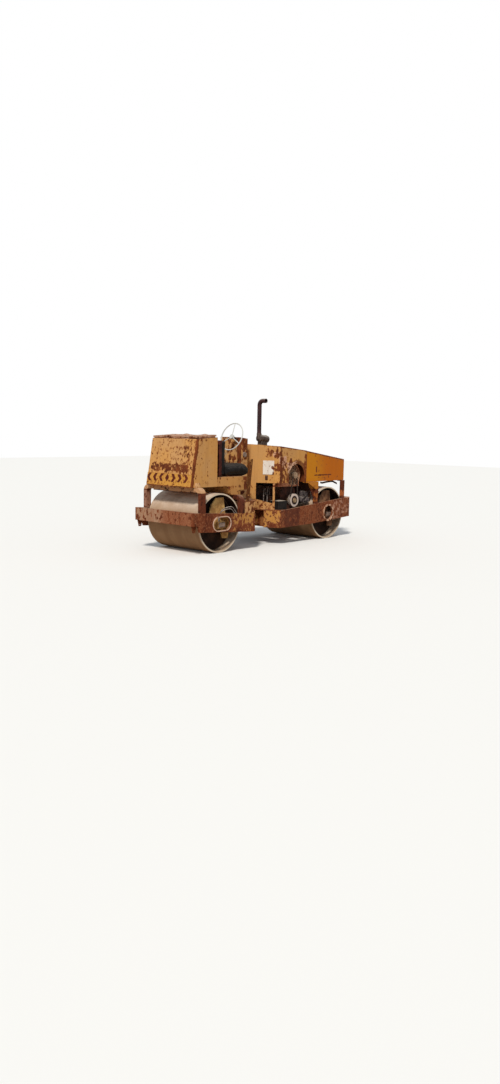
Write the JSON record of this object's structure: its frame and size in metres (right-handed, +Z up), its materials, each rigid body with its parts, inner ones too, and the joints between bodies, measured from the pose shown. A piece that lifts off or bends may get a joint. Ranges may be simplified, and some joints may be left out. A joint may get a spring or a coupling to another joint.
{
  "type": "articulated tandem road roller",
  "caption": "Small ride-on road roller with two steel drums, hinged in the middle, with a seat and water tank behind and an engine and sprinkler tank ahead.",
  "frame": {"origin": "on the floor, below the middle of the bounding box", "axes": "+X forward towards the engine, +Y to the machine's left, +Z up"},
  "size_m": [3.376, 1.116, 2.054],
  "materials": {
    "drum_steel": "dull worn steel, dusty",
    "frame_rust": "rusted through old paint",
    "faded_yellow": "chalky yellow paint with rust specks",
    "tank_orange": "satin orange paint",
    "seat_vinyl": "worn black vinyl",
    "dark_iron": "oily and dusty",
    "pale_plastic": "weathered off-white",
    "bright_rod": "plated rod",
    "rubber": "dry and dusty",
    "exhaust_rust": "burnt and rusted"
  },
  "bodies": {
    "rear_frame": {"rear_drum_carriers": "faded_yellow", "rear_side_plate_right": "frame_rust", "rear_side_plate_left": "frame_rust", "rear_beam": "frame_rust", "rear_cross_member": "frame_rust", "rear_posts": "frame_rust", "scraper_brackets": "frame_rust", "rear_tank": "faded_yellow", "rear_tank_lid": "faded_yellow", "seat_base": "faded_yellow", "seat_base_apron": "faded_yellow", "seat_frame": "dark_iron", "seat_cushion": "seat_vinyl", "seat_backrest": "seat_vinyl", "platform": "frame_rust", "step_brackets": "faded_yellow", "step_upright": "frame_rust", "console": "faded_yellow", "steering_wheel": "pale_plastic", "steering_column": "dark_iron", "steering_cylinder_barrel": "dark_iron", "drum_hoses": "rubber"},
    "front_frame": {"front_drum_carriers": "faded_yellow", "front_side_plate_right": "frame_rust", "front_side_plate_left": "frame_rust", "front_beam": "frame_rust", "front_cross_member": "frame_rust", "steering_pin": "dark_iron", "front_posts": "frame_rust", "bay_floor": "frame_rust", "hood_top": "faded_yellow", "hood_side_right": "faded_yellow", "hood_side_left": "faded_yellow", "hood_nose": "faded_yellow", "bay_rail": "faded_yellow", "front_tank": "tank_orange", "engine_bed": "frame_rust", "engine_block": "dark_iron", "engine_cylinders": "dark_iron", "blower_housing": "frame_rust", "blower_fan": "dark_iron", "crank_pulley": "dark_iron", "alternator": "dark_iron", "hydraulic_pump": "dark_iron", "exhaust_silencer": "exhaust_rust", "exhaust_pipe": "exhaust_rust", "drive_belts": "rubber", "pump_hoses": "rubber", "battery": "dark_iron"},
    "rear_drum": {"rear_drum": "drum_steel"},
    "front_drum": {"front_drum": "drum_steel"},
    "steering_rod": {"steering_cylinder_rod": "bright_rod"}
  },
  "joints": [
    {"name": "steering", "type": "hinge", "parent": "rear_frame", "child": "front_frame", "pos_m": [-0.252, 0, 0.37], "axis": [0, 0, 1], "range_deg": [-30, 30]},
    {"name": "rear_drum_roll", "type": "hinge", "parent": "rear_frame", "child": "rear_drum", "pos_m": [-1.132, 0, 0.39], "axis": [0, 1, 0], "continuous": true},
    {"name": "front_drum_roll", "type": "hinge", "parent": "front_frame", "child": "front_drum", "pos_m": [1.198, 0, 0.39], "axis": [0, 1, 0], "continuous": true},
    {"name": "steering_rod_slide", "type": "slide", "parent": "rear_frame", "child": "steering_rod", "axis": [1, 0, 0], "range_m": [-0.0605, 0.0605]}
  ],
  "couplings": [
    {"joint": "steering_rod_slide", "follows": "steering", "m_per_rad": -0.1146}
  ]
}
